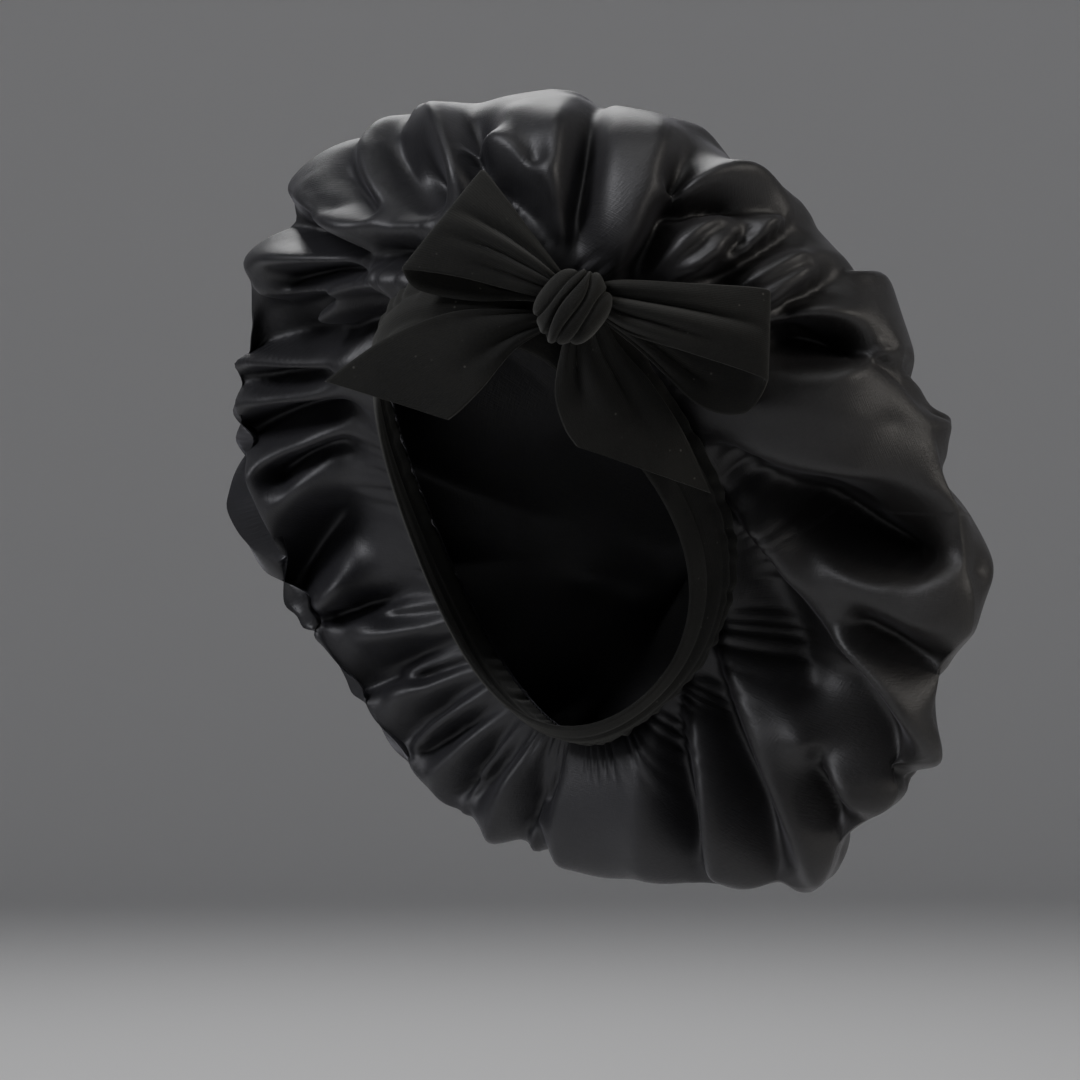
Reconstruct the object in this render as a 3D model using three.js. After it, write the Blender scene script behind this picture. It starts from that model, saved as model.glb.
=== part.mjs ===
// Sleep bonnet: a big satin bag gathered into a wide jersey band that goes round
// the face, over the ears and under the nape, and ties in a bow at the wearer's
// left temple. It is modelled as worn. Millimetres, +Z up, the face looks along -Y,
// the wearer's left is +X, and the origin is the middle of the space the head fills.
import * as THREE from "three";

// ---- driving dimensions, mm ----
const SATIN = 1.6; // wall of the bag
const JERSEY = 2.6; // wall of the band
const TIE = 2.0; // wall of the bow's strips
const GAP = 1.2; // gap between the edges of the bag and the band
const OPENING_HALF_WIDTH = 78; // face opening, side to side
const OPENING_HALF_HEIGHT = 95; // face opening, up and down
const BAG_CENTRE_X = 12; // middle of the widest section
const BAG_CENTRE_Z = 14;
const BACK_X = 8; // rearmost point of the bag
const BACK_Y = 205;
const BACK_Z = 6;
const WIDEST = 0.45; // share of the way from band to back at which the bag is widest
const BAND_PUFF = 3; // how far the middle of the band stands off its edges
const BOW_YAW = 30; // degrees the bow faces to the wearer's left of straight ahead
const KNOT = [66, -45, 115]; // middle of the knot

// ---- tables ----
// Going round the opening: angle 0 is the wearer's left ear, 90 the forehead,
// 180 the right ear and 270 the nape. Going back: 0 at the band, 1 at the rear.
// Band: offset of its satin-side edge from its face-side edge.
const BAND_COLUMNS = ["angle", "dx", "dy", "dz"];
const BAND = [
  [0, 9, 42, 2],
  [30, 16, 36, 14],
  [60, 13, 22, 34],
  [90, 0, 22, 37],
  [120, -14, 27, 30],
  [150, -16, 38, 14],
  [180, -9, 42, 2],
  [210, 0, 38, -4],
  [240, 6, 31, -7],
  [270, 0, 28, -9],
  [300, -7, 29, -7],
  [330, -1, 36, -4],
];
// Widest section of the bag: radius about its centre, and how far back it lies.
const WIDE_COLUMNS = ["angle", "radius", "y"];
const WIDE = [
  [0, 193, 95], [15, 182, 88], [30, 184, 78], [45, 187, 66],
  [60, 196, 54], [75, 203, 44], [90, 209, 38], [105, 217, 37],
  [120, 228, 38], [135, 232, 42], [150, 228, 50], [165, 217, 58],
  [180, 205, 68], [195, 192, 78], [210, 182, 88], [225, 185, 98],
  [240, 188, 108], [255, 184, 114], [270, 188, 118], [285, 204, 120],
  [300, 210, 120], [315, 204, 116], [330, 197, 110], [345, 198, 102],
];
// Crest and valley lines of the bag's folds: where each starts, bends and ends (angle,
// share of the way back), and its height; a valley is negative.
const FOLD_COLUMNS = ["name", "angle0", "back0", "angle1", "back1", "angle2", "back2", "height"];
const FOLDS = [
  ["crest_puff", 107, 0.095, 114, 0.208, 115.5, 0.315, 7],
  ["crest_valley", 96, 0.1, 107.5, 0.165, 112, 0.333, -14],
  ["crest_pocket", 96, 0.138, 102, 0.18, 106, 0.245, -20],
  ["crest_ridge", 89.5, 0.105, 95.5, 0.188, 109, 0.367, 14],
  ["top_valley_b", 88, 0.147, 93, 0.215, 99.5, 0.338, -10],
  ["loop_ridge", 66, 0.075, 83, 0.182, 94, 0.195, 12],
  ["loop_valley", 66.5, 0.048, 79.5, 0.122, 89, 0.15, -14],
  ["top_puff_b", 79, 0.175, 85.5, 0.233, 93.5, 0.34, 7],
  ["top_pleat_crest", 64.5, 0.043, 73.5, 0.147, 85.5, 0.378, 13],
  ["top_pleat_shadow", 62.5, 0.045, 70, 0.14, 81.5, 0.375, -16],
  ["top_panel_left", 59, 0.062, 67.5, 0.177, 81, 0.415, 7],
  ["top_panel_edge", 55, 0.048, 61.5, 0.198, 74.5, 0.44, 12],
  ["temple_shadow", 52.5, 0.06, 56.5, 0.163, 64.5, 0.325, -16],
  ["arc_ridge", 60, 0.2, 59, 0.295, 54.5, 0.487, 12],
  ["arc_shadow", 56, 0.175, 56.5, 0.253, 53, 0.335, -13],
  ["temple_lobe_a", 52, 0.098, 53.5, 0.185, 54, 0.28, 11],
  ["temple_lobe_in", 51, 0.103, 51.5, 0.182, 52.5, 0.26, 4],
  ["temple_lobe_b", 49, 0.113, 49, 0.182, 51, 0.275, 13],
  ["temple_lobe_under", 47.5, 0.122, 47.5, 0.2, 50, 0.295, -9],
  ["step_ridge", 47.5, 0.158, 48, 0.265, 53.5, 0.49, 11],
  ["step_shadow", 46.5, 0.135, 46, 0.25, 51.5, 0.49, -9],
  ["right_lobe_a", 43.5, 0.203, 43.5, 0.285, 43.5, 0.378, 11],
  ["right_lobe_in", 42, 0.212, 42, 0.285, 42, 0.338, 3],
  ["right_lobe_b", 39.5, 0.21, 40, 0.28, 42, 0.375, 10],
  ["right_lobe_under", 37.5, 0.212, 38, 0.297, 40.5, 0.46, -9],
  ["brow_ridge", 36.5, 0.203, 34, 0.295, 26, 0.388, 10],
  ["pocket_upper_a", 35, 0.19, 32, 0.268, 26, 0.343, -21],
  ["pocket_upper_b", 32.5, 0.168, 29, 0.242, 25.5, 0.33, -25],
  ["pocket_upper_lip", 30.5, 0.163, 26, 0.255, 26, 0.505, 11],
  ["side_puff", 32.5, 0.075, 23, 0.175, 14, 0.348, 11],
  ["side_ridge", 28, 0.03, 15.5, 0.14, 4.5, 0.325, 17],
  ["pocket_side_a", 9.5, 0.1, 4, 0.16, -0.5, 0.223, -17],
  ["pocket_side_b", 11, 0.065, -3.5, 0.152, -8, 0.315, -33],
  ["pocket_side_lip", 7.5, 0.068, -6.5, 0.16, -9.5, 0.338, 9],
  ["under_puff", 0, 0.092, -13.5, 0.21, -17, 0.417, 12],
  ["ear_shadow_a", 20.5, 0.022, 16.5, 0.048, 13.5, 0.072, -12],
  ["ear_shadow_b", 15, 0.01, 12.5, 0.035, 9, 0.065, -12],
  ["diag_crest_a", 11.5, 0.013, -0.5, 0.058, -17.5, 0.125, 20],
  ["diag_crest_b", 342.5, 0.125, 334, 0.255, 322.5, 0.478, 19],
  ["diag_shadow_a", 6, 0.007, -11, 0.05, -23, 0.145, -16],
  ["diag_shadow_b", 337, 0.145, 328.5, 0.247, 320.5, 0.405, -16],
  ["diag_shadow_c", 352.5, 0.003, 339, 0.062, 326, 0.14, -22],
  ["rim_notch_right", 342.5, 0.195, 338.5, 0.273, 336.5, 0.378, -10],
  ["low_panel_edge", 339.5, 0, 313.5, 0.11, 298.5, 0.432, 12],
  ["low_panel_mid", 323.5, 0.103, 313.5, 0.26, 314, 0.365, 11],
  ["low_panel_shadow", 330.5, 0, 309.5, 0.113, 296, 0.33, -19],
  ["low_ridge_a", 316.5, 0.01, 298.5, 0.118, 286.5, 0.3, 14],
  ["low_shadow_b", 312, 0.005, 294.5, 0.1, 282, 0.31, -18],
  ["low_ridge_c", 306.5, 0.003, 285, 0.1, 273.5, 0.31, 9],
  ["rim_notch_low", 316.5, 0.203, 311, 0.285, 307, 0.357, -13],
  ["left_corner_shadow", 141, 0.085, 149.5, 0.182, 156.5, 0.36, -18.2],
  ["left_corner_ridge", 144, 0.085, 152, 0.185, 158, 0.395, 14],
  ["left_corner_under", 149, 0.107, 155.5, 0.195, 159.5, 0.305, -11.2],
  ["left_black_groove", 127, 0.007, 140, 0.085, 149, 0.17, -23.8],
  ["left_puff", 112.5, 0, 128.5, 0.083, 143.5, 0.147, 14],
  ["u_upper", 107.5, 0.02, 130, 0.15, 143, 0.318, 16.8],
  ["u_inside", 120, 0.052, 133, 0.145, 142, 0.238, -19.6],
  ["u_lower", 108, 0.003, 133, 0.118, 147, 0.285, 14],
  ["left_valley_a", 109.5, 0, 134, 0.105, 150, 0.328, -18.2],
  ["left_ridge_b", 97, 0.075, 117, 0.115, 131.5, 0.315, 18.2],
  ["left_valley_c", 109.5, 0.04, 129, 0.158, 136, 0.36, -21],
  ["left_pit", 99, 0.035, 107.5, 0.062, 115.5, 0.09, -25.2],
  ["left_pocket", 125, 0.175, 128, 0.205, 131, 0.245, -5.6],
  ["left_rim_ridge", 120.5, 0.168, 124.5, 0.233, 126, 0.297, 7],
  ["left_rim_valley", 112, 0.125, 119.5, 0.21, 121, 0.307, -5.6],
  ["low_left_ridge_a", 150, 0.085, 157.5, 0.188, 164, 0.355, 15.4],
  ["low_left_valley_a", 154.5, 0.085, 161.5, 0.195, 168, 0.37, -18.2],
  ["low_left_ridge_b", 159.5, 0.103, 168, 0.22, 177.5, 0.445, 16.8],
  ["low_left_hole", 162, 0.1, 166.5, 0.17, 172.5, 0.275, -11.2],
  ["low_left_ridge_c", 167, 0.147, 175.5, 0.247, 186.5, 0.408, 14],
  ["low_left_valley_b", 175, 0.143, 183.5, 0.245, 192.5, 0.398, -15.4],
  ["low_left_ridge_d", 187, 0.18, 194, 0.265, 200, 0.445, 12.6],
];
// Drapes where no single fold stands out, crest and valley in turn: how many there
// are, the angles they lie between, where they start and end, how unevenly they
// lie in degrees, their height, and how far they lean.
const DRAPE_COLUMNS = ["name", "count", "from", "to", "back0", "back1", "uneven", "height", "lean"];
const DRAPES = [
  ["nape", 20, 194, 262, 0.01, 0.4, 4, 8.5, 0],
  ["rear", 26, 0, 360, 0.47, 0.76, 9, 7.5, 6],
  ["middle", 9, 0, 360, 0.84, 0.93, 30, 3.5, 30],
];
const FOLD_SCALE = 1.2; // of the heights in both tables
const FREE_LENGTH = 60; // distance from a line at which the cloth is mostly plain again
const CREST_ROUND = 5; // how far a crest is rounded
const ALL_ROUND = 21; // how far every line is rounded, so that the wall's cells can follow it
const SEAM_ROUND = 29; // the same near the band, where the lines crowd together
const OVER_RIM = 0.2; // how far a fold that ends at the rim goes on behind it
// Bow strips, in the bow's own frame: a runs to the viewer's right, z up and out
// towards the viewer, all from the middle of the knot. A row is one section across
// the strip, from its upper edge to its lower edge; puff bows the section outwards
// and pleat is the height of the gathers across it.
const STRIP_COLUMNS = ["a_up", "z_up", "out_up", "a_low", "z_low", "out_low", "puff", "pleat"];
const LOOP_LEFT = [
  [-3, 9, -1, -5, 1, -1, 1, 1.5],
  [-14, 24, 3, -24, 5, 3, 2, 2.2],
  [-28, 45, 1, -54, 12, 4, 4, 1.6],
  [-42, 62, -5, -79, 17, 1, 4, 0.6],
  [-44, 63, -11, -82, 14, -3, 2, 0.3],
  [-41, 57, -17, -77, 8, -8, -3, 0.5],
  [-24, 34, -15, -52, 1, -5, -3, 0.8],
  [-11, 16, -8, -22, -2, -4.5, -1, 1],
  [-3, 6, -6, -6, -2, -6, 0, 0.5],
];
const TAIL_LEFT = [
  [-8, -5, -10.5, -9, -11, -10.5, 0, 0.5],
  [-30, -6, -6, -30, -23, -4, 1, 1],
  [-62, -6, -6, -45, -40, -3, 2, 1],
  [-90, -16, -12, -55, -51, -9, 2, 0.6],
  [-120, -37, -22, -61, -56, -13, 1, 0.3],
];
const LOOP_RIGHT = [
  [4, 6, -1, 3, -3, -1, 1, 1.5],
  [24, 10, 3, 22, -15, 2, 2, 2.4],
  [58, 9, 0, 56, -25, 0, 4, 1.8],
  [90, 7, -9, 88, -36, -9, 4, 0.8],
  [94, 5, -14, 93, -39, -16, 2, 0.3],
  [90, 2, -21, 82, -52, -25, -3, 0.5],
  [58, 1, -19, 60, -50, -27, -3, 0.8],
  [26, 2, -13, 31, -24, -18, -1, 1],
  [6, 3, -6, 6, -4, -7, 0, 0.5],
];
const TAIL_RIGHT = [
  [5, -9, -13, -3, -9, -12, 0, 0.6],
  [20, -22, -22, -8, -26, -13, 2, 1.6],
  [40, -42, -32, -9, -46, -17, 3, 1.4],
  [56, -64, -41, 2, -66, -21, 3, 0.8],
  [67, -90, -50, 12, -72, -25, 2, 0.4],
];
// Knot: half sizes across, up and outwards, tilt of its long axis, and its wraps.
const KNOT_HALF = { across: 16, up: 20, out: 13, back: 3.2 };
const KNOT_TILT = 24;
const KNOT_WRAPS = 4;
const KNOT_WRAP_HEIGHT = 1.2;

// ---- grids ----
const ROUND = 72; // cells round the opening, in the bag and the band alike
const BAG_BACK = [0, 0.025, 0.06, 0.105, 0.155, 0.205, 0.26, 0.32, 0.385, 0.45, 0.53, 0.61, 0.69, 0.77, 0.85, 0.92, 0.97];
const BAND_ACROSS = 4;

// ---- small tools ----
const rad = (d) => (d * Math.PI) / 180;
const clamp = (x, a, b) => Math.min(b, Math.max(a, x));
const ease = (a, b, x) => {
  const y = clamp((x - a) / (b - a), 0, 1);
  return y * y * (3 - 2 * y);
};
const wrap = (d) => ((((d + 180) % 360) + 360) % 360) - 180;
const vec = (x, y, z) => new THREE.Vector3(x, y, z);

// Smooth value of a table's column at an angle, going round.
function round(table, column, angle) {
  const n = table.length;
  const t = ((angle % 360) + 360) % 360;
  let i = n - 1;
  for (let k = 0; k < n; k++) if (table[k][0] <= t) i = k;
  const row = (k) => table[((k % n) + n) % n];
  const at = (k) => row(k)[0] + 360 * Math.floor(k / n);
  const h = at(i + 1) - at(i);
  const f = (t - at(i)) / h;
  const m0 = ((row(i + 1)[column] - row(i - 1)[column]) / (at(i + 1) - at(i - 1))) * h;
  const m1 = ((row(i + 2)[column] - row(i)[column]) / (at(i + 2) - at(i))) * h;
  return (
    (2 * f ** 3 - 3 * f ** 2 + 1) * row(i)[column] + (f ** 3 - 2 * f ** 2 + f) * m0 +
    (3 * f ** 2 - 2 * f ** 3) * row(i + 1)[column] + (f ** 3 - f ** 2) * m1
  );
}

// ---- band edges ----
function faceEdge(angle) {
  const s = Math.sin(rad(angle));
  const knotSide = Math.exp(-((wrap(angle - 57) / 20) ** 2)); // pulled out under the knot
  return vec(
    OPENING_HALF_WIDTH * Math.cos(rad(angle)) + knotSide,
    40 - 67 * s - 45 * s * s + 6 * knotSide,
    OPENING_HALF_HEIGHT * s + 9 * knotSide,
  );
}
function satinEdge(angle) {
  return faceEdge(angle).add(vec(round(BAND, 1, angle), round(BAND, 2, angle), round(BAND, 3, angle)));
}

// ---- bag ----
function widest(angle) {
  const r = round(WIDE, 1, angle);
  return vec(BAG_CENTRE_X + r * Math.cos(rad(angle)), round(WIDE, 2, angle), BAG_CENTRE_Z + r * Math.sin(rad(angle)));
}
// The bag without its folds: a quarter oval from the band out to the widest
// section, and another from there to the rearmost point.
function plainBag(angle, back) {
  const rim = satinEdge(angle);
  const wide = widest(angle);
  if (back <= WIDEST) {
    const p = rad(90 * (back / WIDEST));
    const corner = vec(wide.x, rim.y, wide.z);
    return rim.clone()
      .addScaledVector(corner.clone().sub(rim), Math.sin(p))
      .addScaledVector(wide.clone().sub(corner), 1 - Math.cos(p));
  }
  const p = rad(90 * ((back - WIDEST) / (1 - WIDEST)));
  const rear = vec(BACK_X, BACK_Y, BACK_Z);
  const corner = vec(wide.x, BACK_Y, wide.z);
  return wide.clone()
    .addScaledVector(corner.clone().sub(wide), Math.sin(p))
    .addScaledVector(rear.clone().sub(corner), 1 - Math.cos(p));
}
const STEP_ANGLE = 1;
const STEP_BACK = 0.01;
function bagFrame(angle, back) {
  const b = clamp(back, STEP_BACK, 1 - STEP_BACK);
  const du = plainBag(angle + STEP_ANGLE, b).sub(plainBag(angle - STEP_ANGLE, b)).divideScalar(2 * STEP_ANGLE);
  const dv = plainBag(angle, b + STEP_BACK).sub(plainBag(angle, b - STEP_BACK)).divideScalar(2 * STEP_BACK);
  return { out: dv.clone().cross(du).normalize(), perAngle: du.length(), perBack: dv.length() };
}
// How far the cloth stands off the plain bag: a membrane stretched between the crest
// and valley lines, worked out on a grid of cells.
const CELLS_ROUND = 144;
const CELLS_BACK = 64;
function foldLines() {
  const lines = FOLDS.map(([, ...row]) => row);
  for (const [, count, from, to, back0, back1, uneven, height, lean] of DRAPES)
    for (let i = 0; i < count; i++) {
      const start = from + ((to - from) * (i + 0.28 * Math.sin(5.1 * i + count))) / count;
      const end = back1 + (0.1 * Math.sin(3.3 * i + 0.7 * count) * (back1 - back0)) / 0.4;
      const turn = lean + uneven * Math.sin(4.7 * i + 2);
      const middle = start + 0.5 * turn + 0.3 * uneven * Math.sin(6.1 * i);
      const h = height * (1 + 0.3 * Math.sin(2.1 * i + count)) * (i % 2 ? 1 : -1);
      lines.push([start, back0, middle, 0.5 * (back0 + end), start + turn, end, h]);
    }
  return lines;
}
const cell = (i, j) => (((i % CELLS_ROUND) + CELLS_ROUND) % CELLS_ROUND) * (CELLS_BACK + 1) + clamp(j, 0, CELLS_BACK);
function relax(height, acrossU, acrossV, pull, target, rounds) {
  let h = height.slice();
  for (let round = 0; round < rounds; round++)
    for (let i = 0; i < CELLS_ROUND; i++)
      for (let j = 1; j < CELLS_BACK; j++) {
        const c = cell(i, j);
        const side = h[cell(i - 1, j)] + h[cell(i + 1, j)];
        const along = h[c - 1] + h[c + 1];
        h[c] = (acrossU[c] * side + acrossV[c] * along + target[c]) / (2 * acrossU[c] + 2 * acrossV[c] + pull[c]);
      }
  return h;
}
function stretchCloth() {
  const size = CELLS_ROUND * (CELLS_BACK + 1);
  const grid = () => new Float64Array(size);
  const [acrossU, acrossV, marks, sums] = [grid(), grid(), grid(), grid()];
  for (let i = 0; i < CELLS_ROUND; i++)
    for (let j = 0; j <= CELLS_BACK; j++) {
      const f = bagFrame((360 * i) / CELLS_ROUND, j / CELLS_BACK);
      acrossU[cell(i, j)] = ((f.perAngle * 360) / CELLS_ROUND + 0.3) ** -2;
      acrossV[cell(i, j)] = (f.perBack / CELLS_BACK) ** -2;
    }
  const mark = (angle, back, h) => {
    const x = (angle / 360) * CELLS_ROUND, y = clamp(back, 0, 1) * CELLS_BACK;
    const [i, j] = [Math.floor(x), Math.floor(y)];
    for (const [di, dj] of [[0, 0], [1, 0], [0, 1], [1, 1]]) {
      const share = Math.abs(1 - di - (x - i)) * Math.abs(1 - dj - (y - j));
      marks[cell(i + di, j + dj)] += share;
      sums[cell(i + di, j + dj)] += share * h;
    }
  };
  const SAMPLES = 120;
  for (const [a0, b0, a1, b1, a2, b2, height] of foldLines()) {
    let angle, back, lastAngle, lastBack;
    for (let n = 0; n <= SAMPLES; n++) {
      const s = n / SAMPLES;
      const [l0, l1, l2] = [2 * (s - 0.5) * (s - 1), -4 * s * (s - 1), 2 * s * (s - 0.5)];
      [lastAngle, lastBack] = [angle, back];
      [angle, back] = [a0 * l0 + a1 * l1 + a2 * l2, b0 * l0 + b1 * l1 + b2 * l2];
      const rise = b0 < 0.2 ? 0.35 + 0.65 * ease(0, 0.35, s) : 0.6 + 0.4 * ease(0, 0.2, s);
      mark(angle, back, height * rise * (1 - 0.4 * ease(0.7, 1, s)));
    }
    if (b2 > 0.3 && b2 < 0.6) {
      const slope = clamp((angle - lastAngle) / Math.max(back - lastBack, 1e-4), -120, 120);
      for (let n = 1; n <= SAMPLES / 2; n++) {
        const k = (2 * n) / SAMPLES;
        mark(angle + slope * OVER_RIM * 0.6 * k, back + OVER_RIM * k, height * 0.6 * (1 - k) ** 1.2);
      }
    }
  }
  const free = FREE_LENGTH ** -2;
  const hold = grid(), target = grid();
  for (let c = 0; c < size; c++) {
    const w = Math.min(1, marks[c]) * 3 * (acrossU[c] + acrossV[c]);
    hold[c] = free + w;
    target[c] = marks[c] > 0 ? (w * sums[c]) / marks[c] : 0;
  }
  const taut = relax(grid(), acrossU, acrossV, hold, target, 400);
  const p = 2 / CREST_ROUND ** 2;
  const soft = relax(taut, acrossU, acrossV, grid().fill(p), taut.map((h) => p * h), 40);
  const crested = taut.map((h, c) => FOLD_SCALE * 0.5 * (h + soft[c] - Math.sqrt((h - soft[c]) ** 2 + 0.3)));
  const q = grid().map((_, c) => 2 / (SEAM_ROUND + (ALL_ROUND - SEAM_ROUND) * ease(0.08, 0.32, (c % (CELLS_BACK + 1)) / CELLS_BACK)) ** 2);
  return relax(crested, acrossU, acrossV, q, crested.map((h, c) => q[c] * h), 90);
}
const CLOTH = stretchCloth();
function foldHeight(angle, back) {
  const x = (angle / 360) * CELLS_ROUND, y = clamp(back, 0, 1) * CELLS_BACK;
  const [i, j] = [Math.floor(x), Math.floor(y)];
  const taps = (f) => [(1 - f) ** 3 / 6, (3 * f ** 3 - 6 * f ** 2 + 4) / 6, (-3 * f ** 3 + 3 * f ** 2 + 3 * f + 1) / 6, f ** 3 / 6];
  const [wx, wy] = [taps(x - i), taps(y - j)];
  let height = 0;
  wx.forEach((a, m) => wy.forEach((b, n) => (height += a * b * CLOTH[cell(i + m - 1, j + n - 1)])));
  return height * ease(0, 0.02, back);
}
function bagPoint(angle, back) {
  const frame = bagFrame(angle, back);
  return plainBag(angle, back).addScaledVector(frame.out, foldHeight(angle, back));
}

// ---- closed walls ----
// Wall between an outer and an inner grid of points. grid[i][j]: i goes round (or
// along), j goes across. "loop" closes it round; "cap" closes its last j on a point.
function wallGeometry(outer, inner, { loop, capOuter, capInner }) {
  const position = [];
  const index = [];
  const n = outer.length, m = outer[0].length;
  const put = (p) => position.push(p.x, p.y, p.z) / 3 - 1;
  const id = (grid) => grid.map((line) => line.map(put));
  const o = id(outer), k = id(inner);
  const quad = (a, b, c, d) => index.push(a, b, c, a, c, d);
  const last = loop ? n : n - 1;
  for (let i = 0; i < last; i++) {
    const i1 = (i + 1) % n;
    for (let j = 0; j < m - 1; j++) {
      quad(o[i][j], o[i1][j], o[i1][j + 1], o[i][j + 1]);
      quad(k[i][j + 1], k[i1][j + 1], k[i1][j], k[i][j]);
    }
    quad(k[i][0], k[i1][0], o[i1][0], o[i][0]); // rim
    if (!capOuter) quad(o[i][m - 1], o[i1][m - 1], k[i1][m - 1], k[i][m - 1]);
  }
  if (capOuter) {
    const po = put(capOuter), pk = put(capInner);
    for (let i = 0; i < n; i++) {
      const i1 = (i + 1) % n;
      index.push(o[i][m - 1], o[i1][m - 1], po);
      index.push(k[i1][m - 1], k[i][m - 1], pk);
    }
  }
  if (!loop)
    for (let j = 0; j < m - 1; j++) {
      quad(o[0][j], o[0][j + 1], k[0][j + 1], k[0][j]);
      quad(k[n - 1][j], k[n - 1][j + 1], o[n - 1][j + 1], o[n - 1][j]);
    }
  // Faces point out of the wall: turn them all round if the volume comes out negative.
  const corner = (i) => vec(position[3 * i], position[3 * i + 1], position[3 * i + 2]);
  let volume = 0;
  for (let i = 0; i < index.length; i += 3)
    volume += corner(index[i]).dot(corner(index[i + 1]).cross(corner(index[i + 2])));
  if (volume < 0)
    for (let i = 0; i < index.length; i += 3) [index[i + 1], index[i + 2]] = [index[i + 2], index[i + 1]];
  const g = new THREE.BufferGeometry();
  g.setAttribute("position", new THREE.Float32BufferAttribute(position, 3));
  g.setIndex(index);
  g.computeVertexNormals();
  return g;
}
// Normals of a grid of points, from its neighbours.
function gridNormals(grid, loop) {
  const n = grid.length, m = grid[0].length;
  return grid.map((line, i) =>
    line.map((_, j) => {
      const i0 = loop ? (i - 1 + n) % n : Math.max(0, i - 1);
      const i1 = loop ? (i + 1) % n : Math.min(n - 1, i + 1);
      const du = grid[i1][j].clone().sub(grid[i0][j]);
      const dv = grid[i][Math.min(m - 1, j + 1)].clone().sub(grid[i][Math.max(0, j - 1)]);
      return dv.cross(du).normalize();
    }),
  );
}
function offset(grid, normals, distance) {
  return grid.map((line, i) => line.map((p, j) => p.clone().addScaledVector(normals[i][j], distance)));
}

// ---- materials ----
const satin = new THREE.MeshStandardMaterial({ color: 0x141417, roughness: 0.32, metalness: 0 });
const jersey = new THREE.MeshStandardMaterial({ color: 0x171716, roughness: 0.9, metalness: 0 });

const bonnet = new THREE.Group();
function add(name, geometry, material, parent = bonnet) {
  const mesh = new THREE.Mesh(geometry, material);
  mesh.name = name;
  parent.add(mesh);
  return mesh;
}

// ---- crown: the satin bag ----
{
  const outer = [];
  for (let i = 0; i < ROUND; i++) {
    const angle = (360 * i) / ROUND;
    const away = satinEdge(angle).sub(faceEdge(angle)).normalize().multiplyScalar(GAP);
    outer.push(BAG_BACK.map((back) => bagPoint(angle, back).add(away)));
  }
  const inner = offset(outer, gridNormals(outer, true), -SATIN);
  const rear = plainBag(0, 1);
  add("crown", wallGeometry(outer, inner, { loop: true, capOuter: rear, capInner: rear.clone().add(vec(0, -SATIN, 0)) }), satin);
}

// ---- band: a closed strip of jersey, puffed a little between its edges ----
{
  const mid = [];
  for (let i = 0; i < ROUND; i++) {
    const angle = (360 * i) / ROUND;
    const [f, s] = [faceEdge(angle), satinEdge(angle)];
    const along = faceEdge(angle + 1).sub(faceEdge(angle - 1));
    const out = s.clone().sub(f).cross(along).normalize();
    const line = [];
    for (let j = 0; j <= BAND_ACROSS; j++) {
      const w = j / BAND_ACROSS;
      line.push(f.clone().lerp(s, w).addScaledVector(out, BAND_PUFF * Math.sin(Math.PI * w)));
    }
    mid.push(line);
  }
  const normals = gridNormals(mid, true);
  add("band", wallGeometry(offset(mid, normals, JERSEY / 2), offset(mid, normals, -JERSEY / 2), { loop: true }), jersey);
}

// ---- bow ----
// The bow's frame: x to the viewer's right, y up, z out towards the viewer.
const bow = new THREE.Group();
bow.position.set(...KNOT);
const yaw = rad(BOW_YAW);
bow.quaternion.setFromRotationMatrix(
  new THREE.Matrix4().makeBasis(vec(Math.cos(yaw), Math.sin(yaw), 0), vec(0, 0, 1), vec(Math.sin(yaw), -Math.cos(yaw), 0)),
);
bonnet.add(bow);

// A strip of the tie: its wall follows the sections of its table.
const PLEATS = 3;
const STRIP_ACROSS = 8;
const STEPS_PER_ROW = 3;
function strip(rows) {
  const curve = (c) => {
    const points = rows.map((r) => vec(r[c], r[c + 1], r[c + 2]));
    return new THREE.CatmullRomCurve3(points, false, "centripetal");
  };
  const up = curve(0), low = curve(3);
  const steps = (rows.length - 1) * STEPS_PER_ROW;
  const mid = [];
  for (let i = 0; i <= steps; i++) {
    const s = i / steps;
    const at = s * (rows.length - 1);
    const r = Math.min(rows.length - 2, Math.floor(at));
    const f = at - r;
    const puff = rows[r][6] * (1 - f) + rows[r + 1][6] * f;
    const pleat = rows[r][7] * (1 - f) + rows[r + 1][7] * f;
    const a = up.getPoint(s), b = low.getPoint(s);
    const line = [];
    for (let j = 0; j <= STRIP_ACROSS; j++) {
      const w = j / STRIP_ACROSS;
      const p = a.clone().lerp(b, w);
      p.z += puff * Math.sin(Math.PI * w) + pleat * Math.sin(2 * Math.PI * PLEATS * w) * Math.sin(Math.PI * w);
      line.push(p);
    }
    mid.push(line);
  }
  const normals = gridNormals(mid, false);
  return wallGeometry(offset(mid, normals, TIE / 2), offset(mid, normals, -TIE / 2), { loop: false });
}
add("loop_left", strip(LOOP_LEFT), jersey, bow);
add("loop_right", strip(LOOP_RIGHT), jersey, bow);
add("tail_left", strip(TAIL_LEFT), jersey, bow);
add("tail_right", strip(TAIL_RIGHT), jersey, bow);

// Knot: a domed wad with slanting wraps, flat at the back where the strips run under it.
{
  const g = new THREE.SphereGeometry(1, 24, 12);
  const p = g.getAttribute("position");
  const tilt = rad(-KNOT_TILT);
  for (let i = 0; i < p.count; i++) {
    const v = vec(p.getX(i), p.getY(i), p.getZ(i));
    const wraps = 1 + (KNOT_WRAP_HEIGHT / KNOT_HALF.out) * Math.cos(2 * Math.PI * KNOT_WRAPS * v.x * 0.5 + 0.6);
    const x = v.x * KNOT_HALF.across * wraps, y = v.y * KNOT_HALF.up;
    const z = v.z > 0 ? v.z * KNOT_HALF.out * wraps : 0.15 * v.z * KNOT_HALF.out;
    p.setXYZ(i, x * Math.cos(tilt) - y * Math.sin(tilt), x * Math.sin(tilt) + y * Math.cos(tilt), z + KNOT_HALF.back + 5.5);
  }
  g.deleteAttribute("normal");
  g.deleteAttribute("uv");
  add("knot", g, jersey, bow);
}

export default bonnet;
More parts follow.
